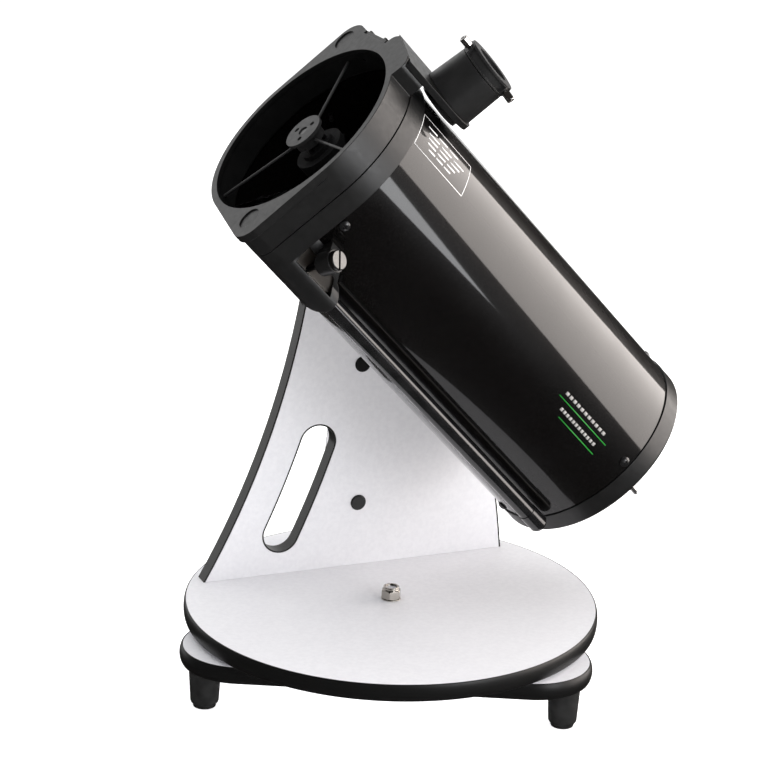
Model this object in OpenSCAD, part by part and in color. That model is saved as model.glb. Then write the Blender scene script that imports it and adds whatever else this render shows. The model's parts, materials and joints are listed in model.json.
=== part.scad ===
// Tabletop newtonian reflector: an open-ended tube on a one-armed rotating base.
// Z is up, the floor is z = 0 and the base turns about the Z axis. Lengths are in mm.

/* [Base] */
// Overall diameter of the turntable, edging included
turntable_diameter = 364; // [300:1:420]
// Thickness of every laminated board
board_thickness = 15; // [12:1:18]
// Height of the rubber feet
foot_height = 37; // [25:1:50]
// Distance of the feet from the turning axis
foot_radius = 177; // [140:1:190]
// Corner radius of the three-sided ground board
corner_radius = 50; // [30:1:70]
// Gap between the two boards, taken up by the pads
bearing_gap = 3.8; // [3:0.1:6]

/* [Arm] */
// Height of the altitude pivot above the floor
pivot_height = 388; // [350:1:420]
// Width of the arm's foot
arm_width = 289; // [240:1:300]
// Distance of the arm's front face from the turning axis
arm_front = 83; // [70:1:110]
// Radius of the arm's rounded top
arm_top_radius = 47.1; // [40:0.1:60]
// Width of the hand slot
slot_width = 32; // [28:1:40]

/* [Tube] */
// Outside radius of the steel tube
tube_radius = 91; // [85:0.5:100]
// Wall of the steel tube
tube_wall = 1; // [0.8:0.1:2]
// Sideways offset of the tube's centre from the turning axis
tube_offset = -36.2; // [-60:0.1:-20]
// Elevation of the tube above the horizon at rest
altitude = 47; // [0:1:90]
// Front face of the upper ring, measured from the pivot along the tube
front_station = 162; // [150:1:180]
// Rear face of the rear collar, measured the same way
rear_station = -248.5; // [-260:0.5:-230]

/* [Truss] */
// Distance of the two rods from the tube's centre
rod_distance = 102; // [98:0.5:110]
// Radius of the rods
rod_radius = 7.5; // [6:0.1:9]
// Direction of the nearer rod around the tube
rod_angle = -145; // [-160:1:-120]

/* [Optics] */
// Radius of the primary mirror
mirror_radius = 76; // [70:0.5:80]
// Focal length of the primary mirror
focal_length = 750; // [600:10:900]
// Radius of the secondary mirror across its short axis
secondary_radius = 23.5; // [20:0.5:30]

/* [Focuser] */
// Direction of the focuser around the tube
focus_angle = -17.65; // [-30:0.05:0]
// Distance of the focuser's axis from the pivot, along the tube
focus_station = 102; // [95:0.5:115]
// Radius of the eyepiece socket
eyepiece_radius = 15.9; // [15.88:0.01:16]
// Radius of the sliding and turning focus tube
focus_tube_radius = 19.5; // [19:0.1:21]

/* [Hidden] */
$fn = 96;

foot_turn = 64.6;
side_distance = 143.5;
ground_z = foot_height;
pad_z = ground_z + board_thickness;
table_z = pad_z + bearing_gap;
deck_z = table_z + board_thickness;
table_radius = turntable_diameter / 2;
edging = 2;
pivot_rise = pivot_height - deck_z;
arm_back = arm_front + board_thickness;
left_radius = 777;
left_x = -821.4;
left_rise = 383.7;
right_radius = 956;
right_x = -806;
right_rise = -102.9;
collar_front = 137;
collar_rear = 119;
ring_rear = 137.4;
plate_rho = 105.8;
flank_turn = 46.3;
flank_x = 82;
screw_station = 101;
vane_angles = [35, 155, -85];
cage_split = 100;
vane_station = 151;
hub_screw_angles = [102, -18, -138];
thumb_angles = [175, -42];
bar_face = 105.5;
panel_local = arm_front - tube_offset;
cell_front = -233;
bolt_r = 5;
// Straight flanks stand this far inside the circles they join, so that each meets them in a clean edge.
bite = 0.02;
bolt_angles = [26, 146, 266];
bolt_radius = 75.5;

// ---- shared shapes ----

// Places children in the tube's own frame: x towards its top, y towards the arm, z to its mouth.
module on_tube() translate([0, tube_offset, pivot_height]) rotate([0, altitude - 90, 0]) children();

// Places children on a radial line of the tube, z outwards.
module on_radius(angle, station) translate([0, 0, station]) rotate([0, 0, angle]) rotate([0, 90, 0]) children();

module tube(inner, outer, from, to) translate([0, 0, from]) difference() {
    cylinder(r = outer, h = to - from);
    translate([0, 0, -1]) cylinder(r = inner, h = to - from + 2);
}

// Cylinder along Y between two values of y.
module rod_y(r, from, to) translate([0, from, 0]) rotate([-90, 0, 0]) cylinder(r = r, h = to - from);

// Two circles on the x axis joined by their outer tangents.
module lobe(r_main, distance, r_far) {
    a = acos((r_main - r_far) / distance);
    m = r_main - bite;
    f = r_far - bite;
    circle(r = r_main);
    translate([distance, 0]) circle(r = r_far);
    polygon([[m * cos(a), -m * sin(a)], [distance + f * cos(a), -f * sin(a)],
        [distance + f * cos(a), f * sin(a)], [m * cos(a), m * sin(a)]]);
}

// ---- ground board ----

module foot_at(i) rotate(foot_turn + 120 * i) translate([foot_radius, 0, 0]) children();

module rounded_triangle(r) {
    for (i = [0:2]) rotate(foot_turn + 120 * i) translate([side_distance, 0]) circle(r = r);
    polygon([for (i = [0:2]) for (s = [-60, 60])
        let (c = foot_turn + 120 * i, m = c + s)
        [side_distance * cos(c) + (r - bite) * cos(m), side_distance * sin(c) + (r - bite) * sin(m)]]);
}

module foot(i) color("#1b1b1d") foot_at(i) difference() {
    union() {
        cylinder(r = 9.9, h = 2);
        translate([0, 0, 2]) cylinder(r1 = 9.9, r2 = 12.2, h = 3);
        translate([0, 0, 5]) cylinder(r1 = 12.2, r2 = 14, h = foot_height - 5);
    }
    translate([0, 0, 6]) cylinder(r = 4.85, h = 3.1);
    translate([0, 0, 8]) cylinder(r = 2.3, h = foot_height);
}
module foot_1() foot(0);
module foot_2() foot(1);
module foot_3() foot(2);

module foot_screws() color("#9a9a9c") for (i = [0:2]) foot_at(i) {
    translate([0, 0, 6.05]) cylinder(r = 4.8, h = 3);
    translate([0, 0, 9]) cylinder(r = 2.2, h = foot_height);
}

module ground_board() color("#e9e9ec") translate([0, 0, ground_z]) difference() {
    linear_extrude(board_thickness) rounded_triangle(corner_radius);
    translate([0, 0, -1]) cylinder(r = bolt_r + 0.1, h = board_thickness + 2);
    for (i = [0:2]) foot_at(i) translate([0, 0, -1]) cylinder(r = 2.3, h = 11);
}

module ground_edging() color("#1b1b1d") translate([0, 0, ground_z]) linear_extrude(board_thickness)
    difference() {
        rounded_triangle(corner_radius + edging);
        rounded_triangle(corner_radius + 0.05);
    }

module azimuth_pads() color("#d9d6cc") for (i = [0:2])
    rotate(foot_turn + 60 + 120 * i) translate([118, 0, pad_z]) cylinder(r = 12, h = bearing_gap - 1);

module azimuth_bolt() color("#b9b9bb") difference() {
    union() {
        translate([0, 0, ground_z - 5]) cylinder(r = 10, h = 5);
        translate([0, 0, ground_z - 1]) cylinder(r = bolt_r, h = deck_z + 10.6 - ground_z + 1);
    }
    translate([0, 0, ground_z - 6]) cylinder(r = 4, h = 4, $fn = 6);
}

module azimuth_washer() color("#c7c7c9") tube(bolt_r + 0.2, 8.9, deck_z + 0.1, deck_z + 1.1);

module azimuth_nut() color("#c7c7c9") translate([0, 0, deck_z + 1.2]) difference() {
    union() {
        intersection() {
            cylinder(r = 9.1, h = 8, $fn = 6);
            union() {
                cylinder(r1 = 8, r2 = 9.2, h = 1);
                translate([0, 0, 1]) cylinder(r = 9.2, h = 5.6);
                translate([0, 0, 6.6]) cylinder(r1 = 9.2, r2 = 7.6, h = 1.4);
            }
        }
        translate([0, 0, 7]) cylinder(r1 = 7.4, r2 = 6.9, h = 3.5);
    }
    translate([0, 0, -1]) cylinder(r = bolt_r + 0.05, h = 12);
}

// ---- turntable ----

module turntable_board() color("#e9e9ec") translate([0, 0, table_z]) difference() {
    cylinder(r = table_radius - edging, h = board_thickness, $fn = 180);
    translate([0, 0, -1]) cylinder(r = 8.05, h = board_thickness + 2);
    for (p = arm_screw_places) translate([p[0], p[1], -1]) {
        cylinder(r = 2.3, h = board_thickness + 2);
        cylinder(r = 4.6, h = 5.2);
    }
}

module turntable_edging() color("#1b1b1d") translate([0, 0, table_z])
    rotate_extrude($fn = 180) {
        translate([table_radius - edging + 0.05, 0]) square([edging - 1.05, board_thickness]);
        translate([table_radius - edging + 0.05, 1]) square([edging - 0.05, board_thickness - 2]);
        for (z = [1, board_thickness - 1]) translate([table_radius - 1, z]) circle(r = 1);
    }

module azimuth_laminate() color("#3a3a3c") tube(100, 136, table_z - 0.8, table_z - 0.05);

module azimuth_bushing() color("#d9d6cc") tube(bolt_r + 0.06, 8, table_z, deck_z);

// ---- arm ----

arm_screw_places = [for (x = [-110, -62, 62, 110]) [x, arm_front + board_thickness / 2]];
brace_screw_rises = [60.1, 190.9];

// Outline of the arm in x and height above the deck, shrunk by "inset" all round.
module arm_outline(inset) {
    top = arm_top_radius - inset;
    left = [left_x, left_rise] - [0, pivot_rise];
    right = [right_x, right_rise] - [0, pivot_rise];
    left_touch = -left / norm(left) * -arm_top_radius;
    right_touch = -right / norm(right) * arm_top_radius;
    translate([0, pivot_rise]) circle(r = top);
    difference() {
        intersection() {
            polygon([[-arm_width / 2 - 60, 0], [arm_width / 2 + 60, 0],
                [arm_width / 2 + 60, pivot_rise + right_touch[1]], [0, pivot_rise] + right_touch,
                [0, pivot_rise], [0, pivot_rise] - left / norm(left) * -arm_top_radius,
                [-arm_width / 2 - 60, pivot_rise + 3]]);
            translate([right_x, right_rise]) circle(r = right_radius - inset, $fn = 720);
        }
        translate([left_x, left_rise]) circle(r = left_radius + inset, $fn = 720);
    }
}

// Hand slot: a band that follows the arm's hollow edge, with round ends.
module slot_outline(grow) {
    low = -24.85;
    high = -18.6;
    middle = 824;
    half = slot_width / 2 + grow;
    translate([left_x, left_rise]) {
        intersection() {
            difference() {
                circle(r = middle + half, $fn = 720);
                circle(r = middle - half, $fn = 720);
            }
            polygon([[0, 0], [900 * cos(low), 900 * sin(low)], [900 * cos(high), 900 * sin(high)]]);
        }
        for (a = [low, high]) translate([middle * cos(a), middle * sin(a)]) circle(r = half);
    }
}

// Stands an outline of x and height up between two values of y.
module upright(from, to) translate([0, to, deck_z]) rotate([90, 0, 0]) linear_extrude(to - from) children();

module arm_panel() color("#e9e9ec") difference() {
    upright(arm_front, arm_back) difference() {
        arm_outline(1.5);
        slot_outline(1.5);
    }
    translate([0, 0, pivot_height]) rod_y(8.05, arm_front - 1, arm_back + 1);
    for (h = brace_screw_rises) translate([0, 0, deck_z + h]) {
        rod_y(2.3, arm_front - 1, arm_back + 1);
        rod_y(4.6, arm_front - 1, arm_front + 4.2);
    }
    for (p = arm_screw_places) translate([p[0], p[1], deck_z - 1]) cylinder(r = 2.3, h = 38);
}

module arm_edging() color("#2c2c2e") upright(arm_front, arm_back) {
    difference() {
        arm_outline(0);
        arm_outline(1.45);
        translate([-200, -1]) square([400, 1.01]);
    }
    difference() {
        slot_outline(1.45);
        slot_outline(0);
    }
}

module arm_caps() color("#1b1b1d") for (h = brace_screw_rises) translate([0, arm_front, deck_z + h]) {
    rod_y(7.25, -0.8, -0.05);
    rod_y(6.2, -1.5, -0.7);
}

// Outline of the rear rib in distance behind the panel and height.
module brace_outline(inset) difference() {
    polygon([[0, 0], [66 - inset, 0], [66 - inset, 18], [20, 236 - inset], [0, 236 - inset]]);
    translate([249, 236]) circle(r = 226 + inset, $fn = 360);
}

module sideways(from, to) translate([from, arm_back + 0.05, deck_z + 0.05]) rotate([90, 0, 90])
    linear_extrude(to - from) children();

module arm_brace() color("#e9e9ec") difference() {
    sideways(-board_thickness / 2, board_thickness / 2) brace_outline(1.5);
    for (h = brace_screw_rises) translate([0, 0, deck_z + h]) rod_y(2.3, arm_back - 1, arm_back + 23);
}

module brace_edging() color("#2c2c2e") sideways(-board_thickness / 2, board_thickness / 2) difference() {
    brace_outline(0);
    for (shift = [[0, 0], [-0.5, 0], [0, -0.5], [-1, -1]]) translate(shift) brace_outline(1.45);
}

module panel_screw() {
    cylinder(r1 = 4.4, r2 = 2.2, h = 4);
    cylinder(r = 2.2, h = 35);
}
module panel_screws() color("#9a9a9c") {
    for (p = arm_screw_places) translate([p[0], p[1], table_z]) panel_screw();
    for (h = brace_screw_rises) translate([0, arm_front + 0.1, deck_z + h]) rotate([-90, 0, 0]) panel_screw();
}

// ---- altitude bearing ----

module altitude_bushing() color("#d9d6cc") difference() {
    translate([0, 0, pivot_height]) rod_y(8, arm_front, arm_back);
    translate([0, 0, pivot_height]) rod_y(bolt_r + 0.06, arm_front - 1, arm_back + 1);
}

module altitude_bearing() color("#1b1b1d") difference() {
    translate([0, 0, pivot_height]) rod_y(32, arm_front - 3.2, arm_front - 0.05);
    translate([0, 0, pivot_height]) rod_y(5.4, arm_front - 4, arm_front + 1);
}

module altitude_bolt() color("#9a9a9c") translate([0, 0, pivot_height]) {
    rod_y(8, arm_front - 11, arm_front - 7.05);
    rod_y(bolt_r, arm_front - 8, arm_back + 20);
}

module altitude_knob() color("#1b1b1d") translate([0, arm_back, pivot_height]) rotate([-90, 0, 0]) difference() {
    union() {
        translate([0, 0, 0.4]) cylinder(r = 16, h = 4);
        translate([0, 0, 4]) linear_extrude(20) {
            circle(r = 21);
            for (i = [0:6]) rotate(360 / 7 * i) translate([20, 0]) circle(r = 5.5);
        }
        translate([0, 0, 23]) cylinder(r1 = 19, r2 = 15, h = 4);
    }
    translate([0, 0, -1]) cylinder(r = bolt_r + 0.06, h = 23);
}

// ---- saddle and dovetail, in the tube's frame ----

module along_tube(from, to) translate([0, 0, from]) linear_extrude(to - from) children();

module saddle() color("#1b1b1d") on_tube() difference() {
    union() {
        along_tube(-35, 35) polygon([[-36, 97.5], [-19.9, 97.5], [-22.2, 105.6], [44, 105.6],
            [44, 115.5], [-36, 115.5]]);
        along_tube(-35, 35) translate([38, 94]) square([6, 14]);
        translate([0, 112, 0]) rotate([-90, 0, 0]) cylinder(r = 34, h = 3.5);
    }
    rod_y(8.1, 100, panel_local - 7);
    rod_y(bolt_r + 0.05, 100, panel_local);
    translate([30, 99.5, 0]) rotate([0, 90, 0]) cylinder(r = 3.06, h = 20);
}

module saddle_jaw() color("#2c2c2e") on_tube() difference() {
    along_tube(-34, 34) polygon([[19.9, 97.5], [33, 97.5], [33, 105.3], [22.1, 105.3]]);
    translate([24, 99.5, 0]) rotate([0, 90, 0]) cylinder(r = 3.06, h = 12);
}

module saddle_knob() color("#1b1b1d") on_tube() translate([0, 99.5, 0]) rotate([0, 90, 0]) {
    translate([0, 0, 25]) cylinder(r = 3, h = 26);
    translate([0, 0, 46.5]) cylinder(r = 5, h = 5);
    translate([0, 0, 50]) linear_extrude(14) {
        circle(r = 9.5);
        for (i = [0:5]) rotate(60 * i) translate([8.8, 0]) circle(r = 2.6);
    }
}

module dovetail_bar() color("#2c2c2e") on_tube() difference() {
    union() {
        along_tube(-70, 70) polygon([[-18.4, 92.6], [18.4, 92.6], [21.9, bar_face], [-21.9, bar_face]]);
        for (s = [-45, 45]) translate([-17, 84, s - 11]) cube([34, 9, 22]);
    }
    translate([0, 0, -80]) cylinder(r = tube_radius + 0.05, h = 160);
    for (s = [-45, 45]) translate([0, 0, s]) {
        rod_y(2.6, 80, 110);
        rod_y(4.7, bar_face - 4, 110);
    }
}

module dovetail_screws() color("#9a9a9c") on_tube() for (s = [-45, 45]) translate([0, 0, s]) {
    rod_y(4.5, bar_face - 3.8, bar_face - 0.6);
    rod_y(2.5, tube_radius - 6, bar_face - 3);
    difference() {
        rod_y(4.6, tube_radius - 5.4, tube_radius - 2.2);
        rod_y(2.4, tube_radius - 6, tube_radius);
    }
}

// ---- steel tube and its plastic collars ----

tube_screw_places = [[-113, 113], [-50, 113], [67, 113], [130, 113],
    [-88.4, -223], [1.6, -223], [91.6, -223], [-178.4, -223]];

module main_tube() color("#111113") on_tube() difference() {
    tube(tube_radius - tube_wall, tube_radius, rear_station + 3, 136);
    for (p = tube_screw_places) on_radius(p[0], p[1]) translate([0, 0, 80]) cylinder(r = 1.8, h = 20);
    for (s = [-45, 45]) translate([0, 0, s]) rod_y(2.6, 80, 100);
    for (a = [rod_angle, rod_angle + 180]) rotate(a) for (s = [124, 132])
        translate([0, 0, s]) rotate([0, 90, 0]) translate([0, 0, 86]) cylinder(r = 1.6, h = 10);
}

module tube_screws() color("#1b1b1d") on_tube() for (p = tube_screw_places)
    on_radius(p[0], p[1]) {
        translate([0, 0, tube_radius - 7]) cylinder(r = 1.75, h = 8);
        translate([0, 0, tube_radius + 0.1]) difference() {
            intersection() {
                cylinder(r = 4.4, h = 3);
                translate([0, 0, -3.2]) sphere(r = 6);
            }
            for (q = [0, 90]) rotate(q) translate([-2.4, -0.5, 1.4]) cube([4.8, 1, 3]);
        }
    }

// Cross-section of one rod guide behind the collar, rod on the x axis.
module guide_section() {
    translate([rod_distance, 0]) circle(r = 16);
    translate([80, -10]) square([22, 20]);
    rotate(flank_turn) polygon([[flank_x, -77], [flank_x, -51.5], [80, -45], [60, -45], [60, -77]]);
}

// The same guide seen square to its flank, in station and sideways position.
module guide_side() {
    translate([80.5, -73.7]) circle(r = 16);
    translate([80.5, -92]) square([collar_front - 80.5, 34.4]);
    polygon([[collar_front, -92], [collar_front, -44], [88, -46], [82, -51], [74, -61], [76, -70]]);
}

module window(r) polygon([[73.5, -69.6], [78, -61.6], [82.5, -56.8], [116, -54.6], [116, -69.6]]);

// Extrudes a station/sideways outline square to the guide's flank.
module flank(from, to) rotate(flank_turn) translate([from, 0, 0])
    multmatrix([[0, 0, 1, 0], [0, 1, 0, 0], [1, 0, 0, 0]]) linear_extrude(to - from) children();

// Axis of a clamp screw: z runs sideways from the rod's centre line.
module on_screw() translate([rod_distance, 0, screw_station]) rotate([-90, 0, 0]) children();

module rod_guide() difference() {
    union() {
        intersection() {
            along_tube(60, collar_rear + 1) guide_section();
            flank(40, 130) guide_side();
        }
        on_screw() translate([0, 0, 26]) cylinder(r = 9.4, h = 15);
        translate([0, 0, screw_station - 7.5]) linear_extrude(15) rotate(flank_turn)
            polygon([[64, -64], [flank_x, -63], [90, -55.6], [99, -46.2], [86, -38], [76, -40]]);
    }
    flank(flank_x - 4, 90) window();
    on_screw() cylinder(r = 2.56, h = 45);
}

module front_collar() color("#1a1a1b") on_tube() difference() {
    union() {
        translate([0, 0, collar_rear]) linear_extrude(collar_front - collar_rear) {
            circle(r = tube_radius + 1.6);
            for (a = [0, 180]) rotate(rod_angle + a) lobe(tube_radius + 1.6, rod_distance, 16);
        }
        for (a = [0, 180]) rotate(rod_angle + a) rod_guide();
    }
    translate([0, 0, 50]) cylinder(r = tube_radius + 0.05, h = 86.2);
    translate([0, 0, 100]) cylinder(r = tube_radius - 3, h = 50);
    for (a = [0, 180]) rotate(rod_angle + a) translate([rod_distance, 0, 50]) cylinder(r = rod_radius + 0.35, h = 100);
}

module clamp_plates() color("#a8a298") on_tube() for (a = [0, 180]) rotate(rod_angle + a) difference() {
    flank(flank_x - 3.95, flank_x - 3) intersection() {
        window();
        translate([74.5, -69.5]) square([41.4, 30]);
    }
    on_screw() cylinder(r = 2.9, h = 45);
    translate([rod_distance, 0, 50]) cylinder(r = rod_radius + 0.4, h = 100);
}

module clamp_screw(a) color("#c7c7c9") on_tube() rotate(rod_angle + a) on_screw() difference() {
    union() {
        translate([0, 0, 8.4]) cylinder(r = 2.5, h = 34);
        translate([0, 0, 41.3]) cylinder(r = 8.2, h = 3);
        translate([0, 0, 44.3]) cylinder(r1 = 8.2, r2 = 7.4, h = 0.8);
    }
    rotate(30) translate([-10, -0.9, 43.2]) cube([20, 1.8, 3]);
}
module clamp_screw_1() clamp_screw(0);
module clamp_screw_2() clamp_screw(180);

// ---- primary mirror end ----

module rear_collar() color("#1a1a1b") on_tube() difference() {
    union() {
        translate([0, 0, rear_station + 3]) cylinder(r = tube_radius + 1.2, h = 16.5);
        translate([0, 0, rear_station]) cylinder(r1 = tube_radius - 1.4, r2 = tube_radius + 1.2, h = 3);
    }
    translate([0, 0, rear_station + 2.9]) cylinder(r = tube_radius + 0.05, h = 20);
    translate([0, 0, rear_station - 1]) cylinder(r = 30, h = 10);
    for (a = bolt_angles) rotate(a) translate([bolt_radius, 0, rear_station - 1]) cylinder(r = 2.56, h = 10);
    for (a = bolt_angles) rotate(a + 30) translate([bolt_radius - 3, 0, rear_station - 1]) cylinder(r = 2, h = 10);
}

module mirror_cell() color("#6f6f73") on_tube() difference() {
    union() {
        translate([0, 0, cell_front - 4]) cylinder(r = 82, h = 4);
        for (a = bolt_angles) rotate(a + 60) translate([45, 0, cell_front - 0.5]) cylinder(r = 8, h = 1.4);
    }
    translate([0, 0, cell_front - 6]) cylinder(r = 22, h = 10);
    for (a = bolt_angles) rotate(a) translate([bolt_radius, 0, cell_front - 6]) cylinder(r = 2.56, h = 10);
}

module primary_mirror() color("#cfd6dc") on_tube() translate([0, 0, cell_front + 1])
    rotate_extrude() difference() {
        square([mirror_radius, 14]);
        translate([0, 14 - mirror_radius * mirror_radius / 4 / focal_length + 2 * focal_length])
            circle(r = 2 * focal_length, $fn = 1800);
    }

module mirror_clips() color("#1b1b1d") on_tube() for (a = bolt_angles) rotate(a + 60) {
    translate([mirror_radius + 0.5, -5, cell_front + 0.05]) cube([4, 10, 16]);
    translate([mirror_radius - 3.5, -5, cell_front + 15.2]) cube([5, 10, 1.8]);
}

module collimation_springs() color("#b9b9bb") on_tube() for (a = bolt_angles) rotate(a)
    translate([bolt_radius, 0, rear_station + 3]) for (i = [0:3]) translate([0, 0, 1 + 2 * i])
        rotate_extrude() translate([4.2, 0]) circle(r = 0.8, $fn = 24);

module collimation_bolt(i) color("#c7c7c9") on_tube() rotate(bolt_angles[i]) translate([bolt_radius, 0, 0]) {
    translate([0, 0, rear_station - 5]) cylinder(r = 2.5, h = 21);
    difference() {
        translate([0, 0, rear_station - 15.5]) cylinder(r = 3, h = 15.2);
        translate([-4, -0.5, rear_station - 16]) cube([8, 1, 2]);
    }
}
module collimation_bolt_1() collimation_bolt(0);
module collimation_bolt_2() collimation_bolt(1);
module collimation_bolt_3() collimation_bolt(2);

module lock_screws() color("#1b1b1d") on_tube() for (a = bolt_angles) rotate(a + 30)
    translate([bolt_radius - 3, 0, 0]) difference() {
        union() {
            translate([0, 0, rear_station - 3]) cylinder(r = 3.6, h = 2.9);
            translate([0, 0, rear_station - 1]) cylinder(r = 1.9, h = 12);
        }
        translate([0, 0, rear_station - 4]) cylinder(r = 1.4, h = 3, $fn = 6);
    }

// ---- truss rods and upper ring ----

module on_rods() for (a = [0, 180]) rotate(rod_angle + a) translate([rod_distance, 0, 0]) children();

module truss_rods() color("#111113") on_tube() on_rods() tube(rod_radius - 1.2, rod_radius, -209, 150);

module rod_ends() color("#1a1a1b") on_tube() on_rods() {
    translate([0, 0, -226]) cylinder(r = 8.1, h = 16.95);
    translate([0, 0, -229]) cylinder(r1 = 6.2, r2 = 8.1, h = 3);
    translate([0, 0, -209.5]) cylinder(r = rod_radius - 1.25, h = 14);
}

// Outline of the upper ring's flange, rod lobes of radius r.
module ring_outline(r) {
    for (a = [0, 180]) rotate(rod_angle + a) lobe(tube_radius + 1, rod_distance, r);
    polygon([[0, 0], [60, 62], [100 + r - 18, 62], [98.6 + r - 18, 44.6], [96.6, 44.4], [96.6, 0], [80, -30]]);
    rotate(focus_angle) {
        translate([60, bite - 28.5]) square([plate_rho - 70, 57 - 2 * bite]);
        translate([60, -18.5]) square([plate_rho - bite - 60, 37]);
        for (t = [-18.5, 18.5]) translate([plate_rho - 10, t]) circle(r = 10);
    }
}

// Focuser plate in station and sideways position, shrunk by "inset".
module plate_outline(inset) {
    translate([focus_station, 0]) circle(r = 27.5 - inset);
    translate([focus_station, inset + bite - 27.5]) square([160 - focus_station, 55 - 2 * inset - 2 * bite]);
}
module plate(from, to, inset) rotate(focus_angle) translate([from, 0, 0])
    multmatrix([[0, 0, 1, 0], [0, 1, 0, 0], [1, 0, 0, 0]]) linear_extrude(to - from) plate_outline(inset);

module cage_whole() difference() {
    union() {
        translate([0, 0, ring_rear]) linear_extrude(155.5 - ring_rear) ring_outline(16);
        translate([0, 0, 155]) linear_extrude(front_station - 155) ring_outline(18);
        difference() {
            plate(100.4, plate_rho, 0);
            difference() {
                plate(96, 102, 2.5);
                translate([0, 0, ring_rear]) cylinder(r = 200, h = 60);
            }
        }
    }
    translate([0, 0, ring_rear - 1]) cylinder(r = 87, h = 21.6);
    translate([0, 0, 100]) cylinder(r = 85.9, h = 100);
    on_rods() translate([0, 0, 100]) cylinder(r = rod_radius + 0.05, h = 50.1);
    for (a = [0, 180]) rotate(rod_angle + a) translate([rod_distance, 0, 0]) rotate(-rod_angle - a)
        translate([0, 4.5, front_station - 1.2]) cylinder(r = 9.7, h = 2);
    on_radius(focus_angle, focus_station) translate([0, 0, 90]) cylinder(r = focus_tube_radius + 0.6, h = 30);
    for (a = vane_angles) rotate(a) translate([80, 0, vane_station]) rotate([0, 90, 0]) cylinder(r = 1.25, h = 9);
    for (y = [12, 34]) translate([80, y, 149]) rotate([0, 90, 0]) cylinder(r = 1.6, h = 30);
    translate([96.6, 2.95, ring_rear - 1]) cube([12, 41.1, front_station + 2 - ring_rear]);
}

// The upper ring is two moulded halves that meet on a plane through the tube's axis.
module cage_half(side) color("#1a1a1b") on_tube() intersection() {
    cage_whole();
    rotate(cage_split) translate([-200, side > 0 ? 0 : -200, 60]) cube([400, 200, 120]);
}
module cage_ring_far() cage_half(1);
module cage_ring_near() cage_half(-1);

module spider() color("#b8b8ba") on_tube() difference() {
    union() {
        translate([0, 0, 155.5]) cylinder(r = 17, h = 3);
        translate([0, 0, 147]) cylinder(r = 13, h = 9);
        for (a = vane_angles) rotate(a) translate([6, 0, vane_station]) rotate([0, 90, 0])
            cylinder(r = 1.2, h = 82.8);
    }
    translate([0, 0, 154]) cylinder(r = 4.2, h = 10);
    translate([0, 0, 140]) cylinder(r = 2.6, h = 20);
    for (a = hub_screw_angles) rotate(a) translate([9.5, 0, 140]) cylinder(r = 2.1, h = 20);
}

module mirror_slab(from, to) rotate([0, 135, 0]) translate([-60, -60, from]) cube([120, 120, to - from]);

module secondary_holder() color("#1b1b1d") on_tube() rotate(focus_angle) translate([0, 0, focus_station])
    difference() {
        union() {
            intersection() {
                translate([0, 0, -40]) cylinder(r = secondary_radius - 1.5, h = 76);
                mirror_slab(-80, -6.1);
            }
            translate([0, 0, 30]) cylinder(r = 14.5, h = 10);
        }
        translate([0, 0, 20]) cylinder(r = 2.55, h = 30);
    }

module secondary_mirror() color("#cfd6dc") on_tube() rotate(focus_angle) translate([0, 0, focus_station])
    intersection() {
        translate([0, 0, -60]) cylinder(r = secondary_radius, h = 120);
        mirror_slab(-6, 0);
    }

module secondary_screws() color("#1b1b1d") on_tube() {
    translate([0, 0, focus_station + 22]) cylinder(r = 2.5, h = 33);
    translate([0, 0, 154.1]) cylinder(r = 4, h = 3.4);
    for (a = hub_screw_angles) rotate(a) translate([9.5, 0, focus_station + 40.1]) cylinder(r = 2, h = 14.5);
}

module finder_shoe() color("#1b1b1d") on_tube() difference() {
    union() {
        translate([96.65, 3, 138]) cube([3.2, 41, 23]);
        translate([99.8, 6.5, 138]) cube([1.6, 3.5, 23]);
        translate([99.8, 37, 138]) cube([1.6, 3.5, 23]);
    }
    for (y = [12, 34]) translate([80, y, 149]) rotate([0, 90, 0]) cylinder(r = 1.6, h = 30);
}

// ---- focuser, built along its own axis with z = distance from the tube's centre ----

module on_focuser() on_tube() on_radius(focus_angle, focus_station) children();

module focuser_housing() color("#1e1e1f") on_focuser() difference() {
    union() {
        translate([0, 0, plate_rho + 0.05]) cylinder(r1 = 25.2, r2 = 24, h = 139.95 - plate_rho);
    }
    translate([0, 0, 100]) cylinder(r = focus_tube_radius + 0.06, h = 50);
}

module slip_ring() color("#d9d6cc") on_focuser() tube(focus_tube_radius - 1.44, focus_tube_radius, 97.2, 99.2);

module focus_tube() color("#1e1e1f") on_focuser() difference() {
    union() {
        translate([0, 0, 95]) cylinder(r = focus_tube_radius, h = 50);
        translate([0, 0, 140.5]) cylinder(r = 24.4, h = 1.5);
        translate([0, 0, 141]) cylinder(r = 22.2, h = 8);
        translate([0, 0, 148.5]) cylinder(r = 24.4, h = 2);
        for (a = thumb_angles) rotate(a) translate([12, -6.5, 141]) cube([12, 13, 8.5]);
    }
    translate([0, 0, 90]) cylinder(r = eyepiece_radius, h = 70);
    tube(focus_tube_radius - 1.5, focus_tube_radius + 1, 97, 99.4);
    for (a = thumb_angles) rotate(a) translate([0, 0, 145.5]) rotate([0, 90, 0]) cylinder(r = 2.06, h = 40);
}

module thumbscrew(i) color("#d4d4d6") on_focuser() rotate(thumb_angles[i]) translate([0, 0, 145.5])
    rotate([0, 90, 0]) {
        translate([0, 0, eyepiece_radius + 0.4]) cylinder(r = 2, h = 10);
        difference() {
            union() {
                translate([0, 0, 24.4]) cylinder(r = 2.6, h = 1.2);
                translate([0, 0, 25.2]) cylinder(r = 3.4, h = 7.6);
                translate([0, 0, 32.8]) cylinder(r1 = 3.4, r2 = 2.8, h = 0.6);
            }
            translate([0, 0, 32]) cylinder(r = 1.5, h = 2);
        }
    }
module thumbscrew_1() thumbscrew(0);
module thumbscrew_2() thumbscrew(1);

// ---- assembly ----

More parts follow.
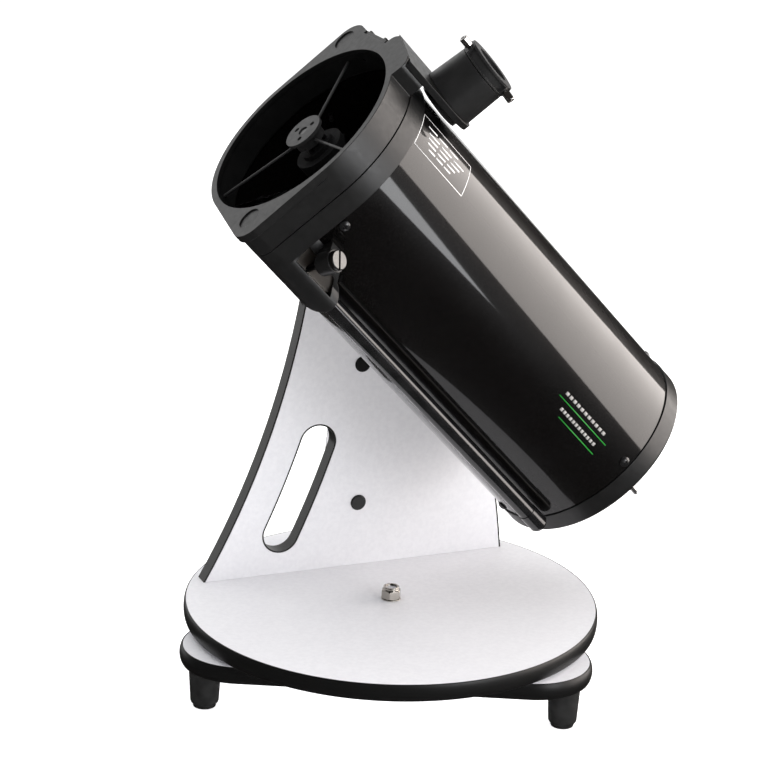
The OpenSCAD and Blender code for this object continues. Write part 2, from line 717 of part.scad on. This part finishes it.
foot_1();
foot_2();
foot_3();
foot_screws();
ground_board();
ground_edging();
azimuth_pads();
azimuth_bolt();
azimuth_washer();
azimuth_nut();
turntable_board();
turntable_edging();
azimuth_laminate();
azimuth_bushing();
arm_panel();
arm_edging();
arm_caps();
arm_brace();
brace_edging();
panel_screws();
altitude_bushing();
altitude_bearing();
altitude_bolt();
altitude_knob();
saddle();
saddle_jaw();
saddle_knob();
dovetail_bar();
dovetail_screws();
main_tube();
front_collar();
clamp_plates();
clamp_screw_1();
clamp_screw_2();
tube_screws();
rear_collar();
mirror_cell();
primary_mirror();
mirror_clips();
collimation_springs();
collimation_bolt_1();
collimation_bolt_2();
collimation_bolt_3();
lock_screws();
truss_rods();
rod_ends();
cage_ring_near();
cage_ring_far();
spider();
secondary_holder();
secondary_mirror();
secondary_screws();
finder_shoe();
focuser_housing();
slip_ring();
focus_tube();
thumbscrew_1();
thumbscrew_2();
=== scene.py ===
"""A table-top newtonian reflector on its turntable mount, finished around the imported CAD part."""
import json
import math

import bmesh
import bpy
from mathutils import Matrix, Vector

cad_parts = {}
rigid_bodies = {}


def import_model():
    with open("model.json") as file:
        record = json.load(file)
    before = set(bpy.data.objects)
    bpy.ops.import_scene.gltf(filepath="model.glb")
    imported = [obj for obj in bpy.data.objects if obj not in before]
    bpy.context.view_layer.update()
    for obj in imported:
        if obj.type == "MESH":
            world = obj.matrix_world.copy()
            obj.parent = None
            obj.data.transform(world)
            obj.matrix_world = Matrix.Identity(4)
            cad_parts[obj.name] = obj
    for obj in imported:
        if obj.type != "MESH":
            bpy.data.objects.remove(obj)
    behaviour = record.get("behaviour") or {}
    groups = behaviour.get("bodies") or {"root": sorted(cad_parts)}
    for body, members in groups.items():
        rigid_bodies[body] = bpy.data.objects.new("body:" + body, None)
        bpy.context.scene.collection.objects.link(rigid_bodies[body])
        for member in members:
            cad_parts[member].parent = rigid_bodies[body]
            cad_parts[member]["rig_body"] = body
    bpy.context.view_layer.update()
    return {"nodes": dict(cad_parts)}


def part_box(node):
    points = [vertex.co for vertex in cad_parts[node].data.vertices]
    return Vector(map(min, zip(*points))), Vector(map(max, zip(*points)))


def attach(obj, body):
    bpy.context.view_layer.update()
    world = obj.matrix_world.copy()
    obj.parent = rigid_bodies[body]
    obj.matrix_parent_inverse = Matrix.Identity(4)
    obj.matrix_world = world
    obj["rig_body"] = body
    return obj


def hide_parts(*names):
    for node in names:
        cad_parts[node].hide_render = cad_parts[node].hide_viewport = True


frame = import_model()

MM = 0.001
SHARP = math.radians(32)          # edges that turn more than this are rounded
FLAT = math.radians(0.5)          # faces that turn less than this are joined

# the tube at rest: its slope, and its centre line found from the CAD tube's own box
TUBE_SLOPE = math.radians(47)
TUBE_RADIUS = 91 * MM
TUBE_WALL = 1 * MM
TUBE_BACK, TUBE_FRONT = -245.5 * MM, 136 * MM
ALONG = Vector((-math.cos(TUBE_SLOPE), 0, math.sin(TUBE_SLOPE)))
UPWARD = Vector((math.sin(TUBE_SLOPE), 0, math.cos(TUBE_SLOPE)))
SIDE = Vector((0, 1, 0))


def tube_frame():
    """From the tube's own axes (top, arm side, along) to the world, with the pivot at nought."""
    low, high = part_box("main_tube")
    pivot = (low + high) / 2 - ALONG * (TUBE_BACK + TUBE_FRONT) / 2
    turn = Matrix((UPWARD, SIDE, ALONG)).transposed().to_4x4()
    return Matrix.Translation(pivot) @ turn


ON_TUBE = tube_frame()


# ---------------------------------------------------------------- finishes

def shader(name, **sockets):
    """A new material, with the plain values given to its shader's own sockets."""
    finish = bpy.data.materials.new(name)
    finish.use_nodes = True
    tree = finish.node_tree
    body = tree.nodes["Principled BSDF"]
    for label, value in sockets.items():
        body.inputs[label.replace("_", " ")].default_value = value
    return finish, tree, body


def grain(tree, scale, detail=3.0, stretch=(1, 1, 1), turn=(0, 0, 0)):
    """Noise on the piece's own coordinates, stretched into streaks where asked."""
    place = tree.nodes.new("ShaderNodeTexCoord")
    mapping = tree.nodes.new("ShaderNodeMapping")
    mapping.inputs["Scale"].default_value = stretch
    mapping.inputs["Rotation"].default_value = turn
    noise = tree.nodes.new("ShaderNodeTexNoise")
    noise.inputs["Scale"].default_value = scale
    noise.inputs["Detail"].default_value = detail
    tree.links.new(place.outputs["Object"], mapping.inputs["Vector"])
    tree.links.new(mapping.outputs["Vector"], noise.inputs["Vector"])
    return noise.outputs["Fac"]


def tinted(tree, body, value, dark, light, low=0.35, high=0.65):
    """Base colour between two shades, by a noise value."""
    ramp = tree.nodes.new("ShaderNodeValToRGB")
    first, last = ramp.color_ramp.elements
    first.position, last.position = low, high
    first.color, last.color = (*dark, 1), (*light, 1)
    tree.links.new(value, ramp.inputs["Fac"])
    tree.links.new(ramp.outputs["Color"], body.inputs["Base Color"])


def varied(tree, body, socket, value, least, most):
    """A socket that drifts between two values with a noise value."""
    spread = tree.nodes.new("ShaderNodeMapRange")
    spread.inputs["From Min"].default_value = 0.3
    spread.inputs["From Max"].default_value = 0.7
    spread.inputs["To Min"].default_value = least
    spread.inputs["To Max"].default_value = most
    tree.links.new(value, spread.inputs["Value"])
    tree.links.new(spread.outputs["Result"], body.inputs[socket])


def relief(tree, body, value, height, strength=1.0):
    """Fine height on the surface, in metres."""
    bump = tree.nodes.new("ShaderNodeBump")
    bump.inputs["Strength"].default_value = strength
    bump.inputs["Distance"].default_value = height
    tree.links.new(value, bump.inputs["Height"])
    tree.links.new(bump.outputs["Normal"], body.inputs["Normal"])


def tube_paint():
    """Gloss black lacquer over a very fine metal flake."""
    finish, tree, body = shader("tube_paint_gloss", Coat_Weight=1.0, Coat_Roughness=0.06,
                                Coat_IOR=1.5, Metallic=0.0, Specular_IOR_Level=0.12)
    flakes = tree.nodes.new("ShaderNodeTexVoronoi")
    place = tree.nodes.new("ShaderNodeTexCoord")
    flakes.inputs["Scale"].default_value = 1100
    tree.links.new(place.outputs["Object"], flakes.inputs["Vector"])
    tinted(tree, body, flakes.outputs["Distance"], (0.011, 0.009, 0.008), (0.0016, 0.0014, 0.0014),
           0.02, 0.30)
    varied(tree, body, "Roughness", grain(tree, 35), 0.30, 0.42)
    relief(tree, body, grain(tree, 420, 2.0), 0.006 * MM, 0.5)
    return finish


def tube_lining():
    """Matt black on the inside of the tube and the rings."""
    finish, tree, body = shader("matt_lining", Specular_IOR_Level=0.2)
    tinted(tree, body, grain(tree, 900), (0.004, 0.004, 0.0042), (0.009, 0.009, 0.0095))
    varied(tree, body, "Roughness", grain(tree, 60), 0.68, 0.82)
    relief(tree, body, grain(tree, 1800, 5.0), 0.04 * MM, 0.6)
    return finish


def moulded_black(name, shade, rough, grit):
    """Spark-grained black moulding: shade, roughness, and how deep the grain is in mm."""
    finish, tree, body = shader(name, Specular_IOR_Level=0.5)
    dark, light = [shade * f for f in (0.86, 0.86, 0.88)], [shade * f for f in (1.12, 1.11, 1.12)]
    tinted(tree, body, grain(tree, 75, 5.0), dark, light)
    varied(tree, body, "Roughness", grain(tree, 240, 4.0), rough - 0.05, rough + 0.06)
    relief(tree, body, grain(tree, 2400, 4.0), grit * MM, 0.5)
    return finish


def board_laminate():
    """Off-white melamine on chipboard: a faint pearl in the colour and an orange-peel skin."""
    finish, tree, body = shader("board_laminate", Specular_IOR_Level=0.45)
    tinted(tree, body, grain(tree, 260, 6.0), (0.745, 0.742, 0.770), (0.785, 0.782, 0.808))
    varied(tree, body, "Roughness", grain(tree, 30, 4.0), 0.36, 0.46)
    relief(tree, body, grain(tree, 900, 2.0), 0.012 * MM, 0.5)
    return finish


def edge_band(name, shade):
    """Extruded plastic edge strip, with faint drag lines level with the board."""
    finish, tree, body = shader(name, Specular_IOR_Level=0.32)
    tinted(tree, body, grain(tree, 40, 4.0, (1, 1, 30)), [shade * 0.85] * 3, [shade * 1.15] * 3)
    varied(tree, body, "Roughness", grain(tree, 300, 3.0, (1, 1, 12)), 0.34, 0.46)
    relief(tree, body, grain(tree, 700, 3.0, (1, 1, 8)), 0.015 * MM, 0.5)
    return finish


def foot_rubber():
    """Firm black rubber, slightly dusty."""
    finish, tree, body = shader("foot_rubber", Specular_IOR_Level=0.4)
    tinted(tree, body, grain(tree, 120, 6.0), (0.009, 0.009, 0.009), (0.018, 0.018, 0.018))
    varied(tree, body, "Roughness", grain(tree, 200, 4.0), 0.42, 0.58)
    relief(tree, body, grain(tree, 1500, 4.0), 0.03 * MM, 0.5)
    return finish


def plated(name, colour, least, most):
    """Bright plating with hairline handling marks."""
    finish, tree, body = shader(name, Metallic=1.0)
    tinted(tree, body, grain(tree, 90, 4.0), [c * 0.93 for c in colour], colour)
    varied(tree, body, "Roughness", grain(tree, 500, 5.0), least, most)
    relief(tree, body, grain(tree, 160, 2.0), 0.01 * MM, 0.4)
    return finish


def brushed(name, colour, rough, streak, turn=(0, 0, 0)):
    """Brushed or drawn metal; streak says which way the lines run."""
    finish, tree, body = shader(name, Metallic=1.0, Anisotropic=0.4)
    tinted(tree, body, grain(tree, 600, 4.0, streak, turn), [c * 0.86 for c in colour], colour)
    varied(tree, body, "Roughness", grain(tree, 900, 4.0, streak, turn), rough - 0.07, rough + 0.07)
    relief(tree, body, grain(tree, 1400, 3.0, streak, turn), 0.008 * MM, 0.5)
    return finish


def black_enamel(name, least, most, peel=0.010):
    """Smooth black stoving enamel on metal; peel is the depth of its skin in mm."""
    finish, tree, body = shader(name, Specular_IOR_Level=0.55, Coat_Weight=0.5, Coat_Roughness=0.12)
    tinted(tree, body, grain(tree, 60, 4.0), (0.0045, 0.0045, 0.005), (0.0085, 0.0085, 0.009))
    varied(tree, body, "Roughness", grain(tree, 300, 4.0), least, most)
    relief(tree, body, grain(tree, 250, 2.0), peel * MM, 0.5)
    return finish


def silvered_glass():
    """Front-silvered mirror, with the faintest haze."""
    finish, tree, body = shader("silvered_glass", Metallic=1.0)
    tinted(tree, body, grain(tree, 25, 3.0), (0.86, 0.88, 0.89), (0.92, 0.93, 0.94))
    varied(tree, body, "Roughness", grain(tree, 80, 5.0), 0.012, 0.035)
    return finish


def milky_nylon():
    """Turned nylon, slightly see-through at its skin."""
    finish, tree, body = shader("milky_nylon", Subsurface_Weight=0.15, Subsurface_Scale=1 * MM)
    tinted(tree, body, grain(tree, 200, 3.0), (0.70, 0.69, 0.65), (0.78, 0.77, 0.73))
    varied(tree, body, "Roughness", grain(tree, 350, 3.0), 0.42, 0.55)
    relief(tree, body, grain(tree, 1200, 3.0), 0.01 * MM, 0.4)
    return finish


def print_ink(name, colour):
    """Screen-printed ink, a little thin in places."""
    finish, tree, body = shader(name, Specular_IOR_Level=0.4)
    tinted(tree, body, grain(tree, 1500, 3.0), [c * 0.82 for c in colour], colour)
    varied(tree, body, "Roughness", grain(tree, 700, 2.0), 0.35, 0.5)
    return finish


LININGS = tube_lining()
FINISHES = {
    "laminate": board_laminate(),
    "rubber": foot_rubber(),
    "edging": edge_band("edge_band_black", 0.0045),
    "black_plastic": moulded_black("moulded_black", 0.0065, 0.36, 0.020),
    "tube_paint": tube_paint(),
    "chrome": plated("bright_plating", (0.62, 0.61, 0.60), 0.10, 0.20),
    "steel": brushed("drawn_steel", (0.56, 0.56, 0.57), 0.32, (1, 6, 1)),
    "black_metal": black_enamel("black_enamel", 0.28, 0.38),
    "aluminium": brushed("milled_aluminium", (0.66, 0.67, 0.68), 0.34, (12, 1, 1),
                         (0, TUBE_SLOPE, 0)),
    "mirror_glass": silvered_glass(),
    "nylon": milky_nylon(),
}
# finishes of single nodes that differ from their slot's
ARM_BAND = edge_band("edge_band_charcoal", 0.014)
SLOTTED = plated("dull_nickel", (0.145, 0.145, 0.143), 0.30, 0.40)
STUB = plated("bright_stub", (0.80, 0.79, 0.78), 0.25, 0.34)
OWN_FINISH = {
    "arm_edging": ARM_BAND,
    "brace_edging": ARM_BAND,
    "azimuth_nut": plated("nickel_nut", (0.46, 0.43, 0.39), 0.12, 0.24),
    "azimuth_washer": plated("nickel_washer", (0.55, 0.53, 0.49), 0.16, 0.28),
    "collimation_bolt_1": STUB,
    "collimation_bolt_2": STUB,
    "collimation_bolt_3": STUB,
    "spider": moulded_black("spider_grey", 0.030, 0.45, 0.012),
    "secondary_holder": LININGS,
    "secondary_screws": black_enamel("blacked_screws", 0.30, 0.42),
    # the focuser's tube and plate are lighter than the other black mouldings: the extra lightness
    # is a painted highlight over their black plastic
    "focus_tube": moulded_black("focuser_black_painted_highlight", 0.015, 0.42, 0.010),
    "focuser_housing": moulded_black("plate_black_painted_highlight", 0.011, 0.38, 0.012),
    "clamp_screw_1": SLOTTED,
    "clamp_screw_2": SLOTTED,
    "slip_ring": moulded_black("slip_ring_black", 0.010, 0.40, 0.008),
    "clamp_plates": brushed("clamp_plate", (0.42, 0.39, 0.36), 0.38, (1, 1, 14),
                            (0, TUBE_SLOPE, 0)),
    "truss_rods": black_enamel("rod_gloss", 0.12, 0.16, 0.001),
    "rod_ends": black_enamel("rod_end_gloss", 0.12, 0.20, 0.001),
}


# ---------------------------------------------------------------- making pieces

def finished(name, bm, body, finishes, weighted=True):
    """Turns a bmesh into a piece that rides on a body and takes a slot's finish."""
    mesh = bpy.data.meshes.new(name)
    bm.to_mesh(mesh)
    bm.free()
    for layer in ("custom_normal", "sharp_edge", "sharp_face"):
        if layer in mesh.attributes:
            mesh.attributes.remove(mesh.attributes[layer])
    mesh.materials.clear()
    for finish in finishes:
        mesh.materials.append(finish)
    mesh.shade_smooth()
    piece = bpy.data.objects.new(name, mesh)
    bpy.context.scene.collection.objects.link(piece)
    if weighted:
        normals = piece.modifiers.new("even_normals", "WEIGHTED_NORMAL")
        normals.keep_sharp = True
        normals.weight = 60
    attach(piece, body)
    return piece


def body_of(node):
    return frame["nodes"][node]["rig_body"]


def slot_of(node):
    return frame["nodes"][node].data.materials[0].name.split(".")[0]


def finish_for(node):
    return OWN_FINISH.get(node) or FINISHES[slot_of(node)]


def merged_copy(node):
    """A CAD node's mesh with its triangles joined up and its flat faces whole again."""
    bm = bmesh.new()
    bm.from_mesh(frame["nodes"][node].data)
    bmesh.ops.remove_doubles(bm, verts=bm.verts, dist=0.002 * MM)
    bmesh.ops.dissolve_limit(bm, angle_limit=FLAT, verts=bm.verts, edges=bm.edges)
    return bm


def round_over(bm, width):
    """Rounds every sharp edge of a mesh by a width in mm."""
    sharp = [e for e in bm.edges if e.is_manifold and e.calc_face_angle() > SHARP]
    bmesh.ops.bevel(bm, geom=sharp, offset=width * MM, offset_type="OFFSET", segments=2,
                    profile=0.5, affect="EDGES", clamp_overlap=False, material=-1)


CROWNED = ("ground_edging",)
STRIP_CROWN = 0.9                 # how far such an edge strip's middle stands out, in mm
STRIP_CUTS = 9                    # how finely its height is cut to take the bow
LABEL_SCREW = (-50, 113)          # the screw left out at the label: angle and station
SCREW_REACH = 8 * MM


def crown(bm, node):
    """Bows a level edge strip's outer wall, so that it is fuller halfway up."""
    low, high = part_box(node)
    middle, half = (low.z + high.z) / 2, (high.z - low.z) / 2
    centre = (low + high) / 2
    upright = [e for e in bm.edges
               if abs(e.verts[0].co.z - e.verts[1].co.z) > 1.9 * half]
    bmesh.ops.subdivide_edges(bm, edges=upright, cuts=STRIP_CUTS, use_grid_fill=True)
    bm.normal_update()
    moves = {}
    for vert in bm.verts:
        walls = [f.normal for f in vert.link_faces if abs(f.normal.z) < 0.5]
        if not walls:
            continue
        out = sum(walls, Vector()).normalized()
        flat = Vector((vert.co.x - centre.x, vert.co.y - centre.y, 0))
        if out.dot(flat) > 0:
            up = (vert.co.z - middle) / half
            moves[vert] = out * STRIP_CROWN * MM * (1 - 2 * up * up)
    for vert, move in moves.items():
        vert.co += move


def leave_out_label_screw(bm):
    """Takes away the one tube screw that would sit on the label."""
    spot = tube_point(math.radians(LABEL_SCREW[0]), LABEL_SCREW[1] * MM, TUBE_RADIUS)
    screw = [v for v in bm.verts if (v.co - spot).length < SCREW_REACH]
    bmesh.ops.delete(bm, geom=screw, context="VERTS")


def rounded_piece(node, width):
    """A CAD node with its sharp edges rounded over by a width in mm."""
    bm = merged_copy(node)
    if node in CROWNED:
        crown(bm, node)
    if node == "tube_screws":
        leave_out_label_screw(bm)
    round_over(bm, width)
    piece = finished(node + "_moulded", bm, body_of(node), [finish_for(node)])
    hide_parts(node)


CAGE_HALVES = ("cage_ring_near", "cage_ring_far")
CAGE_SPLIT = math.radians(190)    # which way the face between the ring's halves looks


def cage_ring(width):
    """The upper ring as the one moulding it is: both CAD halves, with no face between them."""
    bm = bmesh.new()
    for node in CAGE_HALVES:
        bm.from_mesh(frame["nodes"][node].data)
    across = ON_TUBE.to_3x3() @ Vector((math.cos(CAGE_SPLIT), math.sin(CAGE_SPLIT), 0))
    between = [f for f in bm.faces if abs(f.normal.dot(across)) > 0.999
               and abs((f.calc_center_median() - ON_TUBE.translation).dot(across)) < 0.01 * MM]
    bmesh.ops.delete(bm, geom=between, context="FACES")
    bmesh.ops.remove_doubles(bm, verts=bm.verts, dist=0.004 * MM)
    bmesh.ops.dissolve_limit(bm, angle_limit=FLAT, verts=bm.verts, edges=bm.edges)
    round_over(bm, width)
    node = CAGE_HALVES[0]
    piece = finished("cage_ring_moulded", bm, body_of(node), [finish_for(node)])
    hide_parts(*CAGE_HALVES)


def turned(bm, profile, axis, centre, steps):
    """Spins a closed outline of points into a solid of revolution."""
    corners = [bm.verts.new(p) for p in profile]
    ring = [bm.edges.new((a, b)) for a, b in zip(corners, corners[1:] + corners[:1])]
    bmesh.ops.spin(bm, geom=corners + ring, cent=centre, axis=axis, angle=math.tau,
                   steps=steps, use_merge=True)


def tube_point(angle, station, radius):
    """A point round the tube: angle from its top towards the arm, station along it."""
    local = Vector((radius * math.cos(angle), radius * math.sin(angle), station))
    return ON_TUBE @ local


STRIP_WIDTH = 1.95 * MM           # of the round board's edge strip, at its middle
STRIP_SHOULDER = math.radians(75) # how far round the nose turns before it meets the faces
NOSE_POINTS = 15
STRIP_STEPS, TUBE_STEPS = 240, 288
LIP = 0.25 * MM                   # how far the tube's ends are turned over


def table_strip():
    """The round board's edge strip, with a full, rounded nose."""
    low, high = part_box("turntable_edging")
    centre, half = (low + high) / 2, (high.z - low.z) / 2
    radius = (high.x - low.x) / 2
    inner = radius - STRIP_WIDTH
    turns = [STRIP_SHOULDER * (i / (NOSE_POINTS // 2) - 1) for i in range(NOSE_POINTS)]
    nose = [(inner + STRIP_WIDTH * math.cos(t), half * math.sin(t) / math.sin(STRIP_SHOULDER))
            for t in turns]
    outline = [(inner, -half)] + nose + [(inner, half)]
    bm = bmesh.new()
    turned(bm, [centre + Vector((r, 0, z)) for r, z in outline], Vector((0, 0, 1)), centre,
           STRIP_STEPS)
    bmesh.ops.remove_doubles(bm, verts=bm.verts, dist=0.001 * MM)
    bmesh.ops.recalc_face_normals(bm, faces=bm.faces)
    piece = finished("turntable_edging_moulded", bm, body_of("turntable_edging"),
                     [finish_for("turntable_edging")])
    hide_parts("turntable_edging")


def tube_shell():
    """The rolled steel tube, with its lips turned and its inside lined."""
    bm = bmesh.new()
    bore = TUBE_RADIUS - TUBE_WALL
    outline = [(TUBE_BACK, TUBE_RADIUS - LIP), (TUBE_BACK + LIP, TUBE_RADIUS),
               (TUBE_FRONT - LIP, TUBE_RADIUS), (TUBE_FRONT, TUBE_RADIUS - LIP),
               (TUBE_FRONT, bore + LIP), (TUBE_FRONT - LIP, bore),
               (TUBE_BACK + LIP, bore), (TUBE_BACK, bore + LIP)]
    turned(bm, [tube_point(0, s, r) for s, r in outline], ALONG, ON_TUBE.translation,
           TUBE_STEPS)
    bmesh.ops.remove_doubles(bm, verts=bm.verts, dist=0.001 * MM)
    bmesh.ops.recalc_face_normals(bm, faces=bm.faces)
    for face in bm.faces:
        outward = face.calc_center_median() - ON_TUBE.translation
        outward -= ALONG * outward.dot(ALONG)
        face.material_index = 0 if face.normal.dot(outward) > 0 else 1
    piece = finished("tube_shell", bm, body_of("main_tube"),
                     [FINISHES["tube_paint"], LININGS])
    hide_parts("main_tube")


def printed(bm, first_angle, last_angle, first_station, last_station):
    """A thin patch of ink on the tube, by its angles in degrees and stations in mm."""
    inner, outer = TUBE_RADIUS + 0.02 * MM, TUBE_RADIUS + 0.09 * MM
    start = math.radians(first_angle)
    span = math.radians(last_angle - first_angle)
    corners = [bm.verts.new(tube_point(start, s * MM, r))
               for s, r in ((first_station, inner), (last_station, inner),
                            (last_station, outer), (first_station, outer))]
    face = bm.faces.new(corners)
    steps = max(1, round(abs(last_angle - first_angle) / 1.5))
    bmesh.ops.spin(bm, geom=[face, *face.edges, *corners], cent=ON_TUBE.translation,
                   axis=ALONG, angle=span, steps=steps, use_duplicate=False)


LABEL_LINE = 0.60                 # width of the label's rule, in mm
LABEL = (-57.0, -35.0, 55.0, 117.0)
LABEL_ROWS = [(-40.0, 71, 112), (-43.6, 62, 110), (-46.6, 66, 109), (-49.6, 70, 108),
              (-52.6, 74, 104)]
LABEL_DASHES = 3                  # in each of its rows
DASH_HALF = 0.45                  # half a dash's height, in degrees round the tube
RULE_HALF = 0.45                  # half a green rule's width, in mm
GREEN_RULES = [(-90.2, -198, -131), (-98.3, -196, -146)]
MARK_ROWS = [(-87.6, -85.8, -190, -133, 11), (-95.3, -93.5, -190, -140, 12)]


def dashed(bm, first_angle, last_angle, begin, end, count, filled):
    """A row of dashes; filled is how much of each step is inked."""
    step = (end - begin) / count
    for i in range(count):
        printed(bm, first_angle, last_angle, begin + step * i, begin + step * (i + filled))


def label_print():
    """A ruled box with rows of plain dashes in place of wording."""
    bm = bmesh.new()
    left, right, low, high = LABEL
    thin = math.degrees(LABEL_LINE * MM / TUBE_RADIUS)
    for angle in (left, right):
        printed(bm, angle - thin / 2, angle + thin / 2, low, high)
    for station in (low, high):
        printed(bm, left + thin / 2, right - thin / 2, station - LABEL_LINE / 2,
                station + LABEL_LINE / 2)
    for angle, begin, end in LABEL_ROWS:
        dashed(bm, angle - DASH_HALF, angle + DASH_HALF, begin, end, LABEL_DASHES, 0.82)
    bmesh.ops.recalc_face_normals(bm, faces=bm.faces)
    finished("label_print", bm, body_of("main_tube"),
             [print_ink("white_ink", (0.93, 0.92, 0.91))], weighted=False)


def mark_print():
    """Two rows of plain grey dashes beside the green rules."""
    bm = bmesh.new()
    for first, last, begin, end, blocks in MARK_ROWS:
        dashed(bm, first, last, begin, end, blocks, 0.70)
    bmesh.ops.recalc_face_normals(bm, faces=bm.faces)
    finished("mark_print", bm, body_of("main_tube"),
             [print_ink("grey_ink", (0.34, 0.33, 0.32))], weighted=False)


def green_rules():
    """The two fine green rules near the tube's lower end."""
    bm = bmesh.new()
    half = math.degrees(RULE_HALF * MM / TUBE_RADIUS)
    for angle, begin, end in GREEN_RULES:
        printed(bm, angle - half, angle + half, begin, end)
    bmesh.ops.recalc_face_normals(bm, faces=bm.faces)
    finished("green_rules", bm, body_of("main_tube"),
             [print_ink("green_ink", (0.006, 0.24, 0.02))], weighted=False)


# nodes whose own mesh is shown, because it is already finely rounded
KEPT = ["collimation_springs", "azimuth_laminate", "primary_mirror", "secondary_mirror"]
# how far each node's sharp edges are rounded over, in mm
ROUNDING = {
    "ground_board": 0.3, "turntable_board": 0.3, "arm_panel": 0.3, "arm_brace": 0.3,
    "ground_edging": 0.3, "arm_edging": 0.3, "brace_edging": 0.3,
    "front_collar": 0.4, "rear_collar": 0.4, "saddle": 0.6,
    "clamp_plates": 0.12, "tube_screws": 0.06, "spider": 0.2, "foot_1": 0.8, "foot_2": 0.8,
    "foot_3": 0.8, "mirror_clips": 0.2, "lock_screws": 0.15, "azimuth_nut": 0.25,
    "focus_tube": 0.2, "focuser_housing": 0.4, "finder_shoe": 0.3, "altitude_knob": 0.8,
    "saddle_knob": 0.5, "truss_rods": 0.3, "rod_ends": 0.3, "dovetail_bar": 0.3,
}
PLAIN_ROUNDING = 0.15
CAGE_ROUNDING = 0.4


def dress_frame():
    """Every CAD node is either rounded over as a new piece or keeps its mesh with a finish."""
    for node, shown in frame["nodes"].items():
        if node in ("main_tube", "turntable_edging", *CAGE_HALVES):
            continue
        if node in KEPT:
            shown.data.materials[0] = finish_for(node)
        else:
            rounded_piece(node, ROUNDING.get(node, PLAIN_ROUNDING))


dress_frame()
cage_ring(CAGE_ROUNDING)
table_strip()
tube_shell()
label_print()
mark_print()
green_rules()


# ---------------------------------------------------------------- studio

FLOOR_HALF_WIDTH = 8.0
# each sphere's radius, how bright it is, and whether the camera sees it or only the object does
SURROUNDS = (("studio_backdrop", 7.8, 1.0, True), ("studio_fill", 7.6, 0.36, False))
WARM, COOL = (1.0, 0.93, 0.885), (0.97, 0.98, 1.0)
ROOM = (0.035, 0.032, 0.030, 1)
VIEW_PLACE = (-0.8292, -1.9216, 0.9519)
VIEW_TURN = (23.01, 18.11, 2.12)  # azimuth, depression and roll, in degrees
VIEW_LENS, VIEW_SENSOR = 120.06, 36


def pale_paper():
    finish, tree, body = shader("pale_paper", Roughness=0.9, Specular_IOR_Level=0.1,
                                Emission_Color=(1, 1, 1, 1), Emission_Strength=0.62)
    tinted(tree, body, grain(tree, 3.0, 2.0), (0.90, 0.90, 0.90), (0.92, 0.92, 0.92))
    return finish


def white_glow(name, strength):
    finish, _, _ = shader(name, Base_Color=(0, 0, 0, 1), Specular_IOR_Level=0.0,
                          Emission_Color=(1, 1, 1, 1), Emission_Strength=strength)
    finish.cycles.emission_sampling = "NONE"
    return finish


def staged(name, bm, finish, seen=True, lights=True):
    """A floor or backdrop, which the gloss of the object doesn't pick up."""
    mesh = bpy.data.meshes.new(name)
    bm.to_mesh(mesh)
    bm.free()
    mesh.materials.append(finish)
    mesh.shade_smooth()
    backdrop = bpy.data.objects.new(name, mesh)
    bpy.context.scene.collection.objects.link(backdrop)
    backdrop.visible_glossy = False
    backdrop.visible_camera = seen
    backdrop.visible_diffuse = lights


def floor_and_backdrop():
    bm = bmesh.new()
    bmesh.ops.create_grid(bm, x_segments=8, y_segments=8, size=FLOOR_HALF_WIDTH)
    staged("studio_floor", bm, pale_paper())
    for name, radius, glow, seen in SURROUNDS:
        bm = bmesh.new()
        bmesh.ops.create_uvsphere(bm, u_segments=48, v_segments=24, radius=radius)
        staged(name, bm, white_glow(name, glow), seen, not seen)


def softbox(name, centre, aim, width, height, glow, colour=(1, 1, 1), roll=0.0, mirrored=True):
    """A rectangular lamp at a point, facing another; glow is how bright its face is."""
    lamp = bpy.data.lights.new(name, "AREA")
    lamp.shape = "RECTANGLE"
    lamp.size, lamp.size_y = width, height
    lamp.energy = glow * 4 * width * height
    lamp.color = colour
    held = bpy.data.objects.new(name, lamp)
    bpy.context.scene.collection.objects.link(held)
    toward = (Vector(aim) - Vector(centre)).normalized()
    facing = toward.to_track_quat("-Z", "Y").to_matrix().to_4x4()
    held.matrix_world = Matrix.Translation(centre) @ facing @ Matrix.Rotation(roll, 4, "Z")
    held.visible_camera = False
    held.visible_glossy = mirrored


def lamps():
    softbox("side_softbox", (2.0, -0.65, 0.75), (0, -0.65, 0.75), 2.55, 1.9, 3.7, WARM)
    softbox("front_softbox", (0.66, -2.06, 0.66), (-0.68, -0.57, 0.5), 1.2, 1.05, 4.5,
            COOL, math.radians(-12))
    softbox("rear_screen", (-0.28, 2.1, 0.9), (-0.28, 0, 0.5), 4.36, 2.6, 0.85)
    softbox("overhead", (-0.2, -0.3, 2.6), (0, 0, 0.3), 3.4, 3.4, 1.35, mirrored=False)
    world = bpy.data.worlds.new("dim_room")
    world.use_nodes = True
    world.node_tree.nodes["Background"].inputs["Color"].default_value = ROOM
    bpy.context.scene.world = world


def camera():
    """Placed a little above the mount and to its left, as a person standing back sees it."""
    azimuth, elevation, roll = (math.radians(a) for a in VIEW_TURN)
    right = Vector((math.cos(azimuth), -math.sin(azimuth), 0))
    ahead = Vector((math.sin(azimuth) * math.cos(elevation),
                    math.cos(azimuth) * math.cos(elevation), -math.sin(elevation)))
    up = right.cross(ahead)
    across = right * math.cos(roll) + up * math.sin(roll)
    above = up * math.cos(roll) - right * math.sin(roll)
    view = bpy.data.cameras.new("view")
    view.lens = VIEW_LENS
    view.sensor_width = VIEW_SENSOR
    held = bpy.data.objects.new("view", view)
    bpy.context.scene.collection.objects.link(held)
    turn = Matrix((across, above, -ahead)).transposed().to_4x4()
    held.matrix_world = Matrix.Translation(VIEW_PLACE) @ turn
    bpy.context.scene.camera = held


floor_and_backdrop()
lamps()
camera()
bpy.context.scene.view_settings.view_transform = "Standard"
